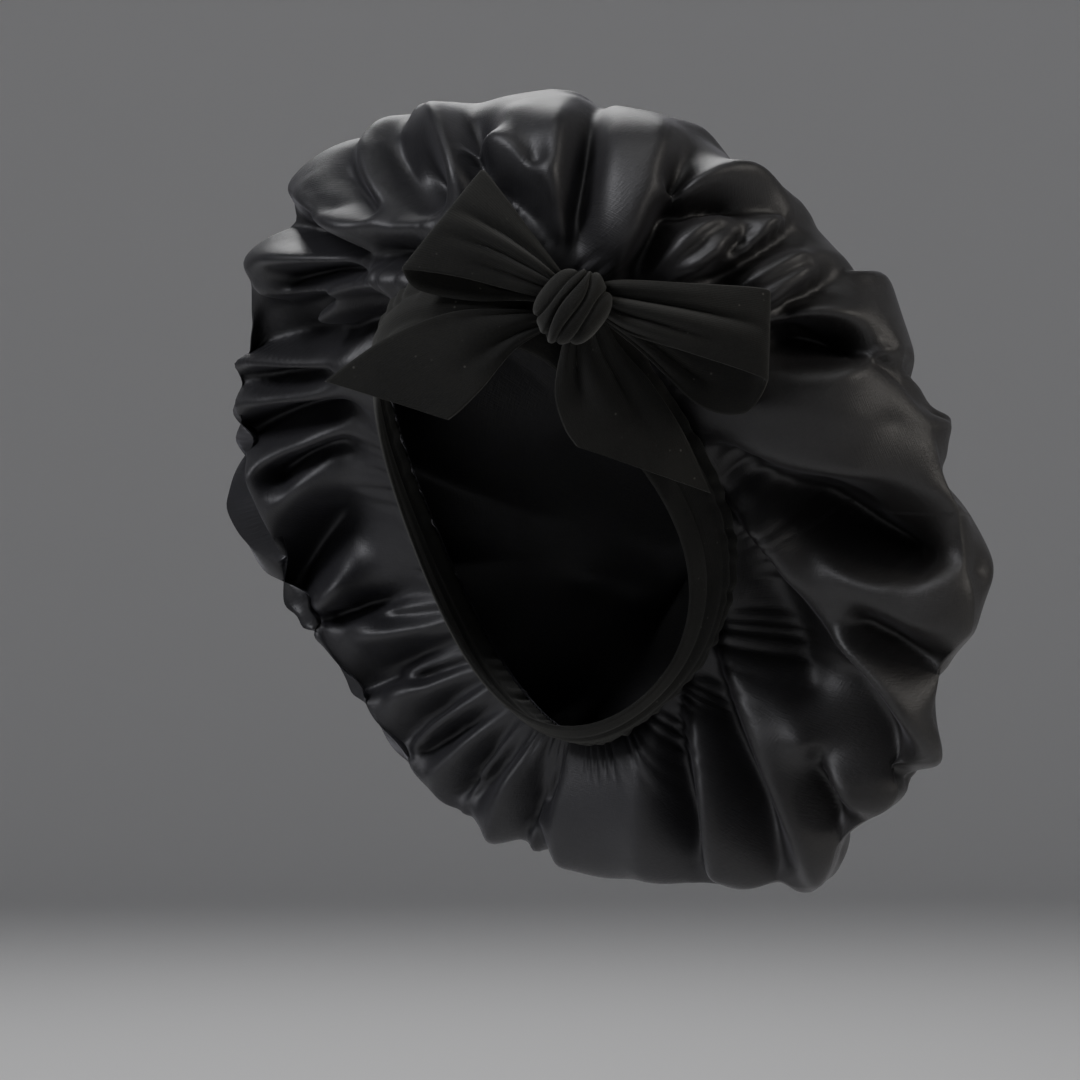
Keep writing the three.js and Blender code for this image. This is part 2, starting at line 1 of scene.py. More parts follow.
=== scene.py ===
import math
import bpy
import numpy as np
from mathutils import Matrix, Vector


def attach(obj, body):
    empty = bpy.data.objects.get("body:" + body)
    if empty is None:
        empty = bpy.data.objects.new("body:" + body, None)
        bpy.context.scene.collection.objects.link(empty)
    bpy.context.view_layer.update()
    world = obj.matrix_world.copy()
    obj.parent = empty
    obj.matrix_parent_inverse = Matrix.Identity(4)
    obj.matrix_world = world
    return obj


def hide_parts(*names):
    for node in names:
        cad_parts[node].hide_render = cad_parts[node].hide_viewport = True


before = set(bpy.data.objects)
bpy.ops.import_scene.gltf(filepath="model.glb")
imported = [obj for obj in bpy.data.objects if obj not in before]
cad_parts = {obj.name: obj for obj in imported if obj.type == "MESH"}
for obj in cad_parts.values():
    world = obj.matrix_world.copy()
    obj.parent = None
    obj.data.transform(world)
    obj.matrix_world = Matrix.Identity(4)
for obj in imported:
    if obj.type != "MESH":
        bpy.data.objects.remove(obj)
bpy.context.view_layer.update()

MM = 0.001

# ---------------------------------------------------------------- shape, mm
# The same form as the CAD: angle 0 is the wearer's left ear, 90 the forehead, 180 the
# right ear and 270 the nape; "back" is 0 at the band and 1 at the rear of the bag.
HALF_W, HALF_H = 78.0, 95.0
CENTRE = (12.0, 14.0)
REAR = np.array([8.0, 205.0, 6.0])
WIDEST = 0.45
BOW_YAW = 30.0
KNOT = np.array([66.0, -45.0, 115.0])
# angle, dx, dy, dz of the satin-side edge from the face-side edge
BAND = [
    (0, 9, 42, 2), (30, 16, 36, 14), (60, 13, 22, 34), (90, 0, 22, 37),
    (120, -14, 27, 30), (150, -16, 38, 14), (180, -9, 42, 2), (210, 0, 38, -4),
    (240, 6, 31, -7), (270, 0, 28, -9), (300, -7, 29, -7), (330, -1, 36, -4),
]
# angle, radius, y of the widest section
WIDE = [
    (0, 193, 95), (15, 182, 88), (30, 184, 78), (45, 187, 66),
    (60, 196, 54), (75, 203, 44), (90, 209, 38), (105, 217, 37),
    (120, 228, 38), (135, 232, 42), (150, 228, 50), (165, 217, 58),
    (180, 205, 68), (195, 192, 78), (210, 182, 88), (225, 185, 98),
    (240, 188, 108), (255, 184, 114), (270, 188, 118), (285, 204, 120),
    (300, 210, 120), (315, 204, 116), (330, 197, 110), (345, 198, 102),
]
# Crest and valley lines of the folds, each a bent line out of the band:
# name, angle0, back0, angle1, back1, angle2, back2, height of the line in mm
FOLDS = [
    ("crest_puff", 107, 0.095, 114, 0.208, 115.5, 0.315, 7),
    ("crest_valley", 96, 0.1, 107.5, 0.165, 112, 0.333, -14),
    ("crest_pocket", 96, 0.138, 102, 0.18, 106, 0.245, -20),
    ("crest_ridge", 89.5, 0.105, 95.5, 0.188, 109, 0.367, 14),
    ("top_valley_b", 88, 0.147, 93, 0.215, 99.5, 0.338, -10),
    ("loop_ridge", 66, 0.075, 83, 0.182, 94, 0.195, 12),
    ("loop_valley", 66.5, 0.048, 79.5, 0.122, 89, 0.15, -14),
    ("top_puff_b", 79, 0.175, 85.5, 0.233, 93.5, 0.34, 7),
    ("top_pleat_crest", 64.5, 0.043, 73.5, 0.147, 85.5, 0.378, 13),
    ("top_pleat_shadow", 62.5, 0.045, 70, 0.14, 81.5, 0.375, -16),
    ("top_panel_left", 59, 0.062, 67.5, 0.177, 81, 0.415, 7),
    ("top_panel_edge", 55, 0.048, 61.5, 0.198, 74.5, 0.44, 12),
    ("temple_shadow", 52.5, 0.06, 56.5, 0.163, 64.5, 0.325, -16),
    ("arc_ridge", 60, 0.2, 59, 0.295, 54.5, 0.487, 12),
    ("arc_shadow", 56, 0.175, 56.5, 0.253, 53, 0.335, -13),
    ("temple_lobe_a", 52, 0.098, 53.5, 0.185, 54, 0.28, 11),
    ("temple_lobe_in", 51, 0.103, 51.5, 0.182, 52.5, 0.26, 4),
    ("temple_lobe_b", 49, 0.113, 49, 0.182, 51, 0.275, 13),
    ("temple_lobe_under", 47.5, 0.122, 47.5, 0.2, 50, 0.295, -9),
    ("step_ridge", 47.5, 0.158, 48, 0.265, 51.5, 0.455, 10),
    ("step_shadow", 46.5, 0.135, 46, 0.25, 51.5, 0.49, -9),
    ("right_lobe_a", 43.5, 0.203, 43.5, 0.285, 43.5, 0.378, 11),
    ("right_lobe_in", 42, 0.212, 42, 0.285, 42, 0.338, 3),
    ("right_lobe_b", 39.5, 0.21, 40, 0.28, 42, 0.375, 10),
    ("right_lobe_under", 37.5, 0.212, 38, 0.297, 40.5, 0.46, -9),
    ("brow_ridge", 36.5, 0.203, 34, 0.295, 29, 0.367, 8),
    ("pocket_upper_a", 35, 0.19, 32, 0.268, 26, 0.343, -21),
    ("pocket_upper_b", 32.5, 0.168, 29, 0.242, 25.5, 0.33, -25),
    ("pocket_upper_lip", 30.5, 0.163, 26, 0.255, 26, 0.505, 11),
    ("side_puff", 32.5, 0.075, 23, 0.175, 14, 0.348, 13),
    ("side_ridge", 28, 0.03, 15.5, 0.14, 4.5, 0.325, 17),
    ("pocket_side_a", 9.5, 0.1, 4, 0.16, -0.5, 0.223, -17),
    ("pocket_side_b", 11, 0.065, -3.5, 0.152, -7.5, 0.297, -36),
    ("pocket_side_lip", 7.5, 0.068, -6.5, 0.16, -9.5, 0.305, 13),
    ("under_puff", 0, 0.092, -13.5, 0.21, -17, 0.417, 12),
    ("ear_shadow_a", 20.5, 0.022, 16.5, 0.048, 13.5, 0.072, -12),
    ("ear_shadow_b", 15, 0.01, 12.5, 0.035, 9, 0.065, -12),
    ("diag_crest_a", 11.5, 0.013, -0.5, 0.058, -17.5, 0.125, 20),
    ("diag_crest_b", 342.5, 0.125, 334, 0.255, 322.5, 0.478, 19),
    ("diag_shadow_a", 6, 0.007, -11, 0.05, -23, 0.145, -16),
    ("diag_shadow_b", 337, 0.145, 328.5, 0.247, 320.5, 0.405, -16),
    ("diag_shadow_c", 352.5, 0.003, 339, 0.062, 326, 0.14, -22),
    ("rim_notch_right", 342.5, 0.195, 338.5, 0.273, 336.5, 0.378, -10),
    ("low_panel_edge", 339.5, 0, 313.5, 0.11, 298.5, 0.432, 12),
    ("low_panel_mid", 323.5, 0.103, 313.5, 0.26, 314, 0.365, 11),
    ("low_panel_shadow", 330.5, 0, 309.5, 0.113, 296, 0.33, -19),
    ("low_ridge_a", 316.5, 0.01, 298.5, 0.118, 286.5, 0.3, 14),
    ("low_shadow_b", 312, 0.005, 294.5, 0.1, 282, 0.31, -18),
    ("low_ridge_c", 306.5, 0.003, 285, 0.1, 273.5, 0.31, 9),
    ("rim_notch_low", 316.5, 0.203, 311, 0.285, 307, 0.357, -13),
    ("left_corner_shadow", 141, 0.085, 149.5, 0.182, 156.5, 0.36, -21.4),
    ("left_corner_ridge", 144, 0.085, 152, 0.185, 158, 0.395, 16.5),
    ("left_corner_under", 149, 0.107, 155.5, 0.195, 159.5, 0.305, -13.2),
    ("left_black_groove", 127, 0.007, 140, 0.085, 149, 0.17, -28),
    ("left_puff", 112.5, 0, 128.5, 0.083, 143.5, 0.147, 16.5),
    ("u_upper", 107.5, 0.02, 130, 0.15, 143, 0.318, 19.8),
    ("u_inside", 120, 0.052, 133, 0.145, 142, 0.238, -23.1),
    ("u_lower", 108, 0.003, 133, 0.118, 147, 0.285, 16.5),
    ("left_valley_a", 109.5, 0, 134, 0.105, 150, 0.328, -21.4),
    ("left_ridge_b", 97, 0.075, 117, 0.115, 131.5, 0.315, 21.4),
    ("left_valley_c", 109.5, 0.04, 129, 0.158, 136, 0.36, -24.8),
    ("left_pit", 99, 0.035, 107.5, 0.062, 115.5, 0.09, -29.7),
    ("left_pocket", 125, 0.175, 128, 0.205, 131, 0.245, -6.6),
    ("left_rim_ridge", 120.5, 0.168, 124.5, 0.233, 126, 0.297, 8.2),
    ("left_rim_valley", 112, 0.125, 119.5, 0.21, 121, 0.307, -6.6),
    ("low_left_ridge_a", 150, 0.085, 157.5, 0.188, 164, 0.355, 18.1),
    ("low_left_valley_a", 154.5, 0.085, 161.5, 0.195, 168, 0.37, -21.4),
    ("low_left_ridge_b", 159.5, 0.103, 168, 0.22, 177.5, 0.445, 19.8),
    ("low_left_hole", 162, 0.1, 166.5, 0.17, 172.5, 0.275, -13.2),
    ("low_left_ridge_c", 167, 0.147, 175.5, 0.247, 186.5, 0.408, 16.5),
    ("low_left_valley_b", 175, 0.143, 183.5, 0.245, 192.5, 0.398, -18.1),
    ("low_left_ridge_d", 187, 0.18, 194, 0.265, 200, 0.445, 14.8),
]


def sm(a, b, x):
    y = np.clip((x - a) / (b - a), 0.0, 1.0)
    return y * y * (3 - 2 * y)


def wrap(d):
    return np.mod(d + 180.0, 360.0) - 180.0


def per(table, angle, column):
    """smooth value of a table's column, going round"""
    a = np.array(table, float)
    x, y = a[:, 0], a[:, column]
    n = len(x)
    t = np.mod(angle, 360.0)
    i = np.searchsorted(x, t, side="right") - 1
    x0, x1 = x[i], np.where(i + 1 < n, x[(i + 1) % n], 360.0)
    h = x1 - x0
    f = (t - x0) / h
    xm = np.where(i > 0, x[i - 1], x[i - 1] - 360.0)
    x2 = np.where(i + 2 < n, x[(i + 2) % n], x[(i + 2) % n] + 360.0)
    y0, y1 = y[i], y[(i + 1) % n]
    m0 = (y1 - y[i - 1]) / (x1 - xm) * h
    m1 = (y[(i + 2) % n] - y0) / (x2 - x0) * h
    return (
        (2 * f**3 - 3 * f**2 + 1) * y0 + (f**3 - 2 * f**2 + f) * m0
        + (3 * f**2 - 2 * f**3) * y1 + (f**3 - f**2) * m1
    )


def face_edge(t):
    r = np.radians(t)
    s = np.sin(r)
    k = np.exp(-((wrap(t - 57) / 20.0) ** 2))
    return np.stack([HALF_W * np.cos(r) + k, 40 - 67 * s - 45 * s * s + 6 * k, HALF_H * s + 9 * k], -1)


def satin_edge(t):
    return face_edge(t) + np.stack([per(BAND, t, 1), per(BAND, t, 2), per(BAND, t, 3)], -1)


def plain_bag(t, v):
    k = satin_edge(t)
    r = per(WIDE, t, 1)
    e = np.stack([CENTRE[0] + r * np.cos(np.radians(t)), per(WIDE, t, 2), CENTRE[1] + r * np.sin(np.radians(t))], -1)
    a = e.copy()
    a[..., 1] = k[..., 1]
    p = np.clip(v / WIDEST, 0, 1) * np.pi / 2
    front = k + (a - k) * np.sin(p)[..., None] + (e - a) * (1 - np.cos(p))[..., None]
    b = e.copy()
    b[..., 1] = REAR[1]
    q = np.clip((v - WIDEST) / (1 - WIDEST), 0, 1) * np.pi / 2
    back = e + (b - e) * np.sin(q)[..., None] + (REAR - b) * (1 - np.cos(q))[..., None]
    return np.where((v <= WIDEST)[..., None], front, back)


def bag_frame(t, v):
    e, d = 1.0, 0.006
    c = np.clip(v, d, 1 - d)
    du = (plain_bag(t + e, c) - plain_bag(t - e, c)) / (2 * e)
    dv = (plain_bag(t, c + d) - plain_bag(t, c - d)) / (2 * d)
    n = np.cross(dv, du)
    n /= np.linalg.norm(n, axis=-1, keepdims=True) + 1e-12
    return n, np.linalg.norm(du, axis=-1), np.linalg.norm(dv, axis=-1)


def hidden_folds():
    """the bag's drapes where no single fold is named: under the nape and over the rear"""
    rows = []
    for name, count, a0, a1, b0, b1, jitter, height, lean in DRAPES:
        for i in range(count):
            t0 = a0 + (a1 - a0) * (i + 0.28 * math.sin(5.1 * i + count)) / count
            end = b1 + 0.10 * math.sin(3.3 * i + 0.7 * count) * (b1 - b0) / 0.4
            h = height * (1 + 0.3 * math.sin(2.1 * i + count)) * (1 if i % 2 else -1)
            dt = lean + jitter * math.sin(4.7 * i + 2)
            rows.append((name, t0, b0, t0 + 0.5 * dt + 0.3 * jitter * math.sin(6.1 * i), 0.5 * (b0 + end), t0 + dt, end, h))
    return rows


LINES_U, LINES_V = 480, 193  # grid on which the cloth is stretched between its crests and valleys
FREE_LENGTH = 60.0  # mm from a line at which the cloth has mostly gone back to the plain bag
CREST_ROUND, ALL_ROUND, SEAM_ROUND = 3.5, 1.9, 6.0  # mm over which crests, every line, and the lines near the band are rounded
GATHERS = 96  # tucks round the seam
CREST_SCALE, VALLEY_SCALE = 1.45, 1.2  # of the heights in the tables
# name, count, from and to angle, back at its start and end, jitter in degrees, height, lean
DRAPES = [
    ("nape", 20, 194.0, 262.0, 0.01, 0.40, 4.0, 8.5, 0.0),
    ("rear", 26, 0.0, 360.0, 0.47, 0.76, 9.0, 7.5, 6.0),
    ("middle", 9, 0.0, 360.0, 0.84, 0.93, 30.0, 3.5, 30.0),
]


def line_marks(rows, nu, nv):
    """weight and height of the fold lines on a grid"""
    w, wh = np.zeros((nu, nv)), np.zeros((nu, nv))
    for _, t0, v0, t1, v1, t2, v2, height in rows:
        height = height * (CREST_SCALE if height > 0 else VALLEY_SCALE)
        s = np.linspace(0, 1, 240)
        l0, l1, l2 = 2 * (s - 0.5) * (s - 1), -4 * s * (s - 1), 2 * s * (s - 0.5)
        t, v = t0 * l0 + t1 * l1 + t2 * l2, v0 * l0 + v1 * l1 + v2 * l2
        rise = 0.35 + 0.65 * sm(0.0, 0.35, s) if v0 < 0.2 else 0.6 + 0.4 * sm(0.0, 0.2, s)
        a0 = np.mod(t0, 360.0)  # the rim is smoothest over the left temple and under the right ear
        calm = 0.4 + 0.35 * (sm(5, 20, a0) - sm(90, 110, a0)) + 0.35 * (sm(172, 190, a0) - sm(255, 270, a0))
        h = height * rise * (1 - calm * sm(0.7, 1.0, s))
        if 0.30 < v2 < 0.60:  # goes on over the rim and dies away behind it
            k = np.linspace(0, 1, 60)[1:]
            dt, dv = (t[-1] - t[-24]), max(v[-1] - v[-24], 1e-3)
            ext = 0.20
            t = np.concatenate([t, t[-1] + np.clip(dt / dv, -120, 120) * ext * 0.6 * k])
            v = np.concatenate([v, v[-1] + ext * k])
            h = np.concatenate([h, height * (1 - calm) * (1 - k) ** 1.2])
        x, y = np.mod(t, 360.0) / 360.0 * nu, np.clip(v, 0, 1) * (nv - 1)
        i, j = np.floor(x).astype(int), np.floor(y).astype(int)
        fx, fy = x - i, y - j
        for di, dj, c in ((0, 0, (1 - fx) * (1 - fy)), (1, 0, fx * (1 - fy)), (0, 1, (1 - fx) * fy), (1, 1, fx * fy)):
            ii, jj = np.mod(i + di, nu), np.clip(j + dj, 0, nv - 1)
            np.add.at(w, (ii, jj), c)
            np.add.at(wh, (ii, jj), c * h)
    return w, np.where(w > 0, wh / np.maximum(w, 1e-9), 0.0)


def grid_metric(nu, nv):
    tt, vv = np.meshgrid(np.arange(nu) * 360.0 / nu, np.linspace(0, 1, nv), indexing="ij")
    _, lu, lv = bag_frame(tt, vv)
    return 1 / (lu * 360.0 / nu + 0.3) ** 2, 1 / (lv / (nv - 1)) ** 2


def relax_to(h, cu, cv, pull, target, rounds):
    """a membrane pulled towards a target, level at the band and the rear"""
    den = 2 * cu + 2 * cv + pull
    zero = np.zeros((h.shape[0], 1))
    for _ in range(rounds):
        side = np.roll(h, 1, 0) + np.roll(h, -1, 0)
        along = np.concatenate([h[:, 1:], zero], 1) + np.concatenate([zero, h[:, :-1]], 1)
        h = 0.15 * h + 0.85 * (cu * side + cv * along + target) / den
        h[:, 0] = 0
        h[:, -1] = 0
    return h


def stretch(rows):
    """height field of a cloth stretched between the lines, coarse grids first"""
    h = None
    for div, rounds in ((8, 400), (4, 300), (2, 240), (1, 200)):
        nu, nv = LINES_U // div, (LINES_V - 1) // div + 1
        cu, cv = grid_metric(nu, nv)
        w, target = line_marks(rows, nu, nv)
        w = np.minimum(w, 1.0) * 3.0 * (cu + cv)
        if h is None:
            h = np.zeros((nu, nv))
        else:
            x = np.linspace(0, 1, nv) * (h.shape[1] - 1)
            j = np.clip(np.floor(x).astype(int), 0, h.shape[1] - 2)
            f = x - j
            h = h[:, j] * (1 - f) + h[:, j + 1] * f
            h = np.repeat(h, 2, 0)[:nu]
            h = 0.5 * h + 0.25 * (np.roll(h, 1, 0) + np.roll(h, -1, 0))
        h = relax_to(h, cu, cv, 1 / FREE_LENGTH**2 + w, w * target, rounds)
    # crests are rounded more than valleys are: the cloth is full on its crests
    p = 2 / CREST_ROUND**2
    soft = relax_to(h.copy(), cu, cv, p, p * h, 60)
    h = 0.5 * (h + soft - np.sqrt((h - soft) ** 2 + 0.3))
    v = np.linspace(0, 1, h.shape[1])[None, :]
    p = 2 / (SEAM_ROUND + (ALL_ROUND - SEAM_ROUND) * sm(0.04, 0.2, v)) ** 2
    return relax_to(h.copy(), cu, cv, p, p * h, 40)


def gathers(t, v):
    """the tucks of the gathered seam: round crests and narrow valleys that fan out and fade"""
    lean = 1.5 * np.sin(np.radians(5 * t)) + 1.1 * np.sin(np.radians(11 * t + 40))
    a = np.radians(GATHERS * (t - lean * v * 9)) + 2.6 * np.sin(np.radians(7 * t)) + 2.0 * np.sin(np.radians(17 * t + 60)) + 1.1 * np.sin(np.radians(31 * t))
    tuck = np.abs(np.sin(0.5 * a)) ** 0.8 * 2 - 1.25
    reach = 0.13 + 0.05 * np.sin(np.radians(9 * t + 10)) + 0.03 * np.sin(np.radians(23 * t))
    strength = 0.85 + 0.3 * np.sin(np.radians(13 * t + 80)) + 0.35 * np.sin(np.radians(29 * t + 15)) * np.sin(np.radians(4 * t))
    return strength * tuck * sm(0.0, 0.02, v) * (1 - sm(0.25, 1.0, v / reach))


def spline_sample(h, t, v):
    """smooth value of a grid at points, with a cubic spline that rounds its creases"""
    nu, nv = h.shape
    x, y = np.mod(t, 360.0) / 360.0 * nu, np.clip(v, 0, 1) * (nv - 1)
    i, j = np.floor(x).astype(int), np.floor(y).astype(int)

    def taps(f):
        return [(1 - f) ** 3 / 6, (3 * f**3 - 6 * f**2 + 4) / 6, (-3 * f**3 + 3 * f**2 + 3 * f + 1) / 6, f**3 / 6]

    wx, wy = taps(x - i), taps(y - j)
    r = np.zeros(t.shape)
    for a in range(4):
        for b in range(4):
            r += h[np.mod(i + a - 1, nu), np.clip(j + b - 1, 0, nv - 1)] * wx[a] * wy[b]
    return r


HEIGHTS = stretch(FOLDS + hidden_folds())


def bag_points(t, v):
    n, _, _ = bag_frame(t, v)
    h = spline_sample(HEIGHTS, t, v) + gathers(t, v)
    return plain_bag(t, v) + n * h[..., None], n


# ---------------------------------------------------------------- mesh tools
def new_mesh(name, points, faces, uv=None, smooth=True):
    me = bpy.data.meshes.new(name)
    p = np.asarray(points, np.float64) * MM
    f = np.asarray(faces, np.int32)
    me.vertices.add(len(p))
    me.vertices.foreach_set("co", p.ravel().astype(np.float32))
    k = f.shape[1]
    me.loops.add(f.size)
    me.loops.foreach_set("vertex_index", f.ravel())
    me.polygons.add(len(f))
    me.polygons.foreach_set("loop_start", np.arange(0, f.size, k, dtype=np.int32))
    me.polygons.foreach_set("loop_total", np.full(len(f), k, np.int32))
    if uv is not None:
        layer = me.uv_layers.new(name="UVMap")
        layer.data.foreach_set("uv", np.asarray(uv, np.float32)[f.ravel()].ravel())
    me.update(calc_edges=True)
    me.validate()
    me.polygons.foreach_set("use_smooth", np.ones(len(me.polygons), bool))
    o = bpy.data.objects.new(name, me)
    bpy.context.scene.collection.objects.link(o)
    return o


def grid_faces(n, m, loop, base=0, flip=False):
    i = np.arange(n if loop else n - 1)
    j = np.arange(m - 1)
    I, J = np.meshgrid(i, j, indexing="ij")
    I1 = (I + 1) % n
    q = np.stack([I * m + J, I1 * m + J, I1 * m + J + 1, I * m + J + 1], -1).reshape(-1, 4) + base
    return q[:, ::-1] if flip else q


def grid_normals(g, loop):
    if loop:
        du = np.roll(g, -1, 0) - np.roll(g, 1, 0)
    else:
        du = np.gradient(g, axis=0)
    dv = np.gradient(g, axis=1)
    n = np.cross(dv, du)
    return n / (np.linalg.norm(n, axis=-1, keepdims=True) + 1e-12)


def thick(name, grid, half, loop, uv_scale=(1.0, 1.0), round_over=None, end_round=None):
    """closed wall round a grid of mid-surface points, its long edges rounded over"""
    n, m = grid.shape[:2]
    nr = grid_normals(grid, loop)
    w = np.linspace(0, 1, m)
    wid = np.linalg.norm(np.diff(grid, axis=1), axis=-1).sum(1).mean()
    e = (round_over or half) / wid
    a = np.clip((e - np.minimum(w, 1 - w)) / e, 0, 1)
    th = half * np.sqrt(np.clip(1 - a * a, 0.0, 1)).clip(0.12, 1)[None, :] * np.ones((n, 1))
    if end_round is not None:
        s = np.linspace(0, 1, n)
        ln = np.linalg.norm(np.diff(grid, axis=0), axis=-1).sum(0).mean()
        ee = half / ln
        b = np.clip((ee - (1 - s)) / ee, 0, 1) if "1" in end_round else np.zeros(n)
        th = th * np.sqrt(np.clip(1 - b * b, 0, 1)).clip(0.12, 1)[:, None]
    top = grid + nr * th[..., None]
    bot = grid - nr * th[..., None]
    P = np.concatenate([top.reshape(-1, 3), bot.reshape(-1, 3)])
    F = [grid_faces(n, m, loop), grid_faces(n, m, loop, n * m, True)]
    i = np.arange(n if loop else n - 1)
    i1 = (i + 1) % n
    B = n * m
    F.append(np.stack([i1 * m, i * m, i * m + B, i1 * m + B], -1))
    F.append(np.stack([i * m + m - 1, i1 * m + m - 1, i1 * m + m - 1 + B, i * m + m - 1 + B], -1))
    if not loop:
        j = np.arange(m - 1)
        F.append(np.stack([j, j + 1, j + 1 + B, j + B], -1))
        k = (n - 1) * m
        F.append(np.stack([k + j + 1, k + j, k + j + B, k + j + 1 + B], -1))
    U, V = np.meshgrid(np.linspace(0, 1, n) * uv_scale[0], w * uv_scale[1], indexing="ij")
    uv = np.tile(np.stack([U, V], -1).reshape(-1, 2), (2, 1))
    return new_mesh(name, P, np.concatenate(F), uv)


# ---------------------------------------------------------------- materials
def nodes_of(name):
    m = bpy.data.materials.new(name)
    m.use_nodes = True
    nt = m.node_tree
    nt.nodes.clear()
    out = nt.nodes.new("ShaderNodeOutputMaterial")
    bs = nt.nodes.new("ShaderNodeBsdfPrincipled")
    nt.links.new(bs.outputs[0], out.inputs[0])
    return m, nt, bs


def node(nt, kind, **values):
    n = nt.nodes.new(kind)
    for k, v in values.items():
        if k in n.inputs:
            n.inputs[k].default_value = v
        else:
            setattr(n, k, v)
    return n


def ramp(nt, source, stops):
    r = nt.nodes.new("ShaderNodeValToRGB")
    e = r.color_ramp.elements
    while len(e) < len(stops):
        e.new(0.5)
    for el, (p, c) in zip(e, stops):
        el.position = p
        el.color = (*c, 1) if len(c) == 3 else c
    nt.links.new(source, r.inputs[0])
    return r


def satin_material():
    m, nt, bs = nodes_of("satin")
    L = nt.links.new
    tc = nt.nodes.new("ShaderNodeTexCoord")
    # slow random drift of the tone, violet-grey, and towards the wearer's left painted warm light: the base turns
    # warmer and a little lighter on the side the warm lamp lights
    big = node(nt, "ShaderNodeTexNoise", Scale=5.0, Detail=3.0, Roughness=0.55)
    L(tc.outputs["Object"], big.inputs["Vector"])
    sx = nt.nodes.new("ShaderNodeSeparateXYZ")
    L(tc.outputs["Object"], sx.inputs[0])
    # painted warm light: the mix towards the warmer tone rises across object X, from 0.02 to 0.20 m, towards the
    # wearer's left
    side = node(nt, "ShaderNodeMapRange")
    side.inputs["From Min"].default_value = 0.02
    side.inputs["From Max"].default_value = 0.20
    L(sx.outputs["X"], side.inputs["Value"])
    cool = ramp(nt, big.outputs["Fac"], [(0.35, (0.0085, 0.0083, 0.0100)), (0.65, (0.0135, 0.0132, 0.0160))])
    # painted warm light: the warmer, lighter tone laid on the wearer's left side
    painted_warm_light = ramp(nt, big.outputs["Fac"], [(0.35, (0.0105, 0.0096, 0.0088)), (0.65, (0.0175, 0.0158, 0.0140))])
    mix = node(nt, "ShaderNodeMix", data_type="RGBA")
    L(side.outputs["Result"], mix.inputs["Factor"])
    L(cool.outputs["Color"], mix.inputs["A"])
    L(painted_warm_light.outputs["Color"], mix.inputs["B"])
    # warp lines of the weave, fine and slightly uneven
    uv = nt.nodes.new("ShaderNodeUVMap")
    uv.uv_map = "UVMap"
    mp = node(nt, "ShaderNodeMapping")
    mp.inputs["Scale"].default_value = (900.0, 90.0, 1.0)
    L(uv.outputs["UV"], mp.inputs["Vector"])
    thread = node(nt, "ShaderNodeTexNoise", Scale=1.0, Detail=2.0, Roughness=0.6)
    L(mp.outputs["Vector"], thread.inputs["Vector"])
    mp2 = node(nt, "ShaderNodeMapping")
    mp2.inputs["Scale"].default_value = (110.0, 760.0, 1.0)
    L(uv.outputs["UV"], mp2.inputs["Vector"])
    weft = node(nt, "ShaderNodeTexNoise", Scale=1.0, Detail=2.0, Roughness=0.6)
    L(mp2.outputs["Vector"], weft.inputs["Vector"])
    add = node(nt, "ShaderNodeMath", operation="ADD")
    L(thread.outputs["Fac"], add.inputs[0])
    L(weft.outputs["Fac"], add.inputs[1])
    tint = node(nt, "ShaderNodeMapRange")
    tint.inputs["From Min"].default_value = 0.7
    tint.inputs["From Max"].default_value = 1.3
    tint.inputs["To Min"].default_value = 0.72
    tint.inputs["To Max"].default_value = 1.28
    L(add.outputs[0], tint.inputs["Value"])
    col = node(nt, "ShaderNodeVectorMath", operation="SCALE")
    L(mix.outputs["Result"], col.inputs[0])
    L(tint.outputs["Result"], col.inputs["Scale"])
    L(col.outputs[0], bs.inputs["Base Color"])
    # lustre: a little smoother or duller in random patches
    rn = node(nt, "ShaderNodeTexNoise", Scale=14.0, Detail=4.0, Roughness=0.6)
    L(tc.outputs["Object"], rn.inputs["Vector"])
    rough = node(nt, "ShaderNodeMapRange")
    rough.inputs["From Min"].default_value = 0.3
    rough.inputs["From Max"].default_value = 0.7
    rough.inputs["To Min"].default_value = 0.45
    rough.inputs["To Max"].default_value = 0.56
    L(rn.outputs["Fac"], rough.inputs["Value"])
    L(rough.outputs["Result"], bs.inputs["Roughness"])
    bs.inputs["IOR"].default_value = 1.55
    bs.inputs["Specular IOR Level"].default_value = 0.60
    bs.inputs["Sheen Weight"].default_value = 0.14
    bs.inputs["Sheen Roughness"].default_value = 0.30
    bs.inputs["Sheen Tint"].default_value = (0.80, 0.79, 0.86, 1)
    # crumple of the cloth, then its threads
    cr = node(nt, "ShaderNodeTexNoise", Scale=38.0, Detail=3.0, Roughness=0.5, Distortion=0.6)
    L(tc.outputs["Object"], cr.inputs["Vector"])
    b1 = node(nt, "ShaderNodeBump", Strength=0.06, Distance=0.0016)
    L(cr.outputs["Fac"], b1.inputs["Height"])
    b2 = node(nt, "ShaderNodeBump", Strength=0.55, Distance=0.0003)
    L(add.outputs[0], b2.inputs["Height"])
    L(b1.outputs["Normal"], b2.inputs["Normal"])
    L(b2.outputs["Normal"], bs.inputs["Normal"])
    return m


